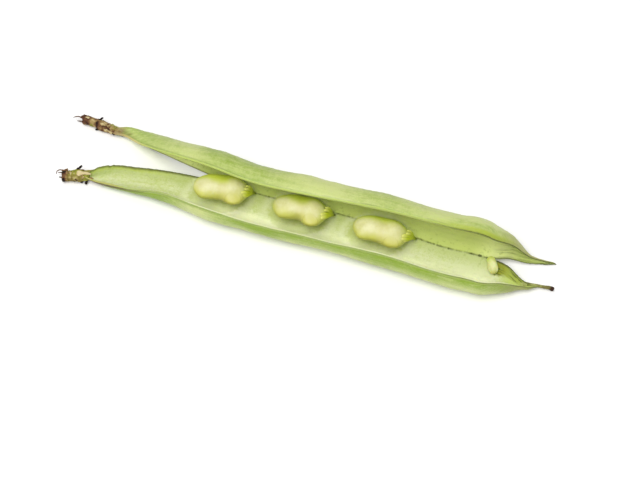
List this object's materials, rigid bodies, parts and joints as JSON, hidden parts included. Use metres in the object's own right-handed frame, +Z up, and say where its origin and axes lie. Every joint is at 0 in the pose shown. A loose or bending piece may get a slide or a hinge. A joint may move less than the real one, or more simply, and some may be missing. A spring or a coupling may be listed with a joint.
{
  "type": "broad bean pod",
  "caption": "Open broad bean pod lying on one valve: beans on their stalks inside, both ends torn apart, dried calyx and style.",
  "frame": {"origin": "on the surface the pod lies on, under the middle of its box", "axes": "+X along the pod from the stem end to the tip, -Y towards the side of the front valve that holds the beans, +Z up"},
  "size_m": [0.2182, 0.0363, 0.0254],
  "materials": {
    "pod_skin": "fresh green pod wall, satin skin and velvety pale lining",
    "bean": "smooth cream bean, satin",
    "stalk": "moist yellow-green flesh, ridged",
    "small_bean": "pale yellow, satin",
    "dried": "dry brown fibres, rough",
    "style": "dry olive brown, rough"
  },
  "bodies": {
    "root": {"pod_shell": "pod_skin", "bean_1": "bean", "bean_2": "bean", "bean_3": "bean", "funicle_1": "stalk", "funicle_2": "stalk", "funicle_3": "stalk", "undeveloped_bean": "small_bean", "calyx_front": "dried", "calyx_rear": "dried", "style": "style"}
  },
  "joints": []
}
